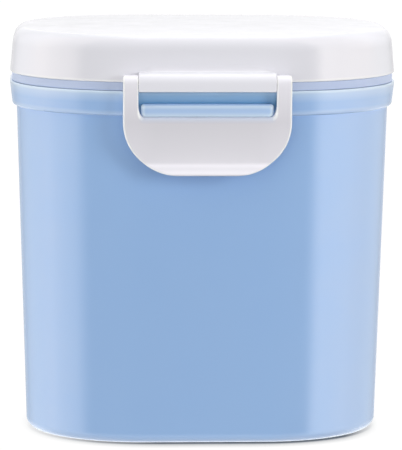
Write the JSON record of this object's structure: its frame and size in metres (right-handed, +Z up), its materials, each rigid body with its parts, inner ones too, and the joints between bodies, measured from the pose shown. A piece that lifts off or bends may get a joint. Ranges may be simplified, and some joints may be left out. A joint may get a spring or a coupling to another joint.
{
  "type": "milk powder container",
  "caption": "Shut tapered plastic food container with rounded ends, a collar, a seal band, a rounded white lid and a front snap latch over a catch bar.",
  "frame": {"origin": "middle of the base, on the surface it stands on, under the middle of the bounding box", "axes": "+Z up, -Y out of the front where the latch is, +X to the right seen from the front"},
  "size_m": [0.1302, 0.0972, 0.138],
  "materials": {
    "blue_plastic": "smooth glossy moulded polypropylene, light blue",
    "seal_silicone": "pale translucent silicone, satin",
    "white_plastic": "smooth glossy moulded polypropylene, white",
    "latch_plastic": "smooth glossy moulded plastic, white"
  },
  "bodies": {
    "root": {"tub": "blue_plastic", "seal_band": "seal_silicone", "lid": "white_plastic", "latch": "latch_plastic"}
  },
  "joints": []
}
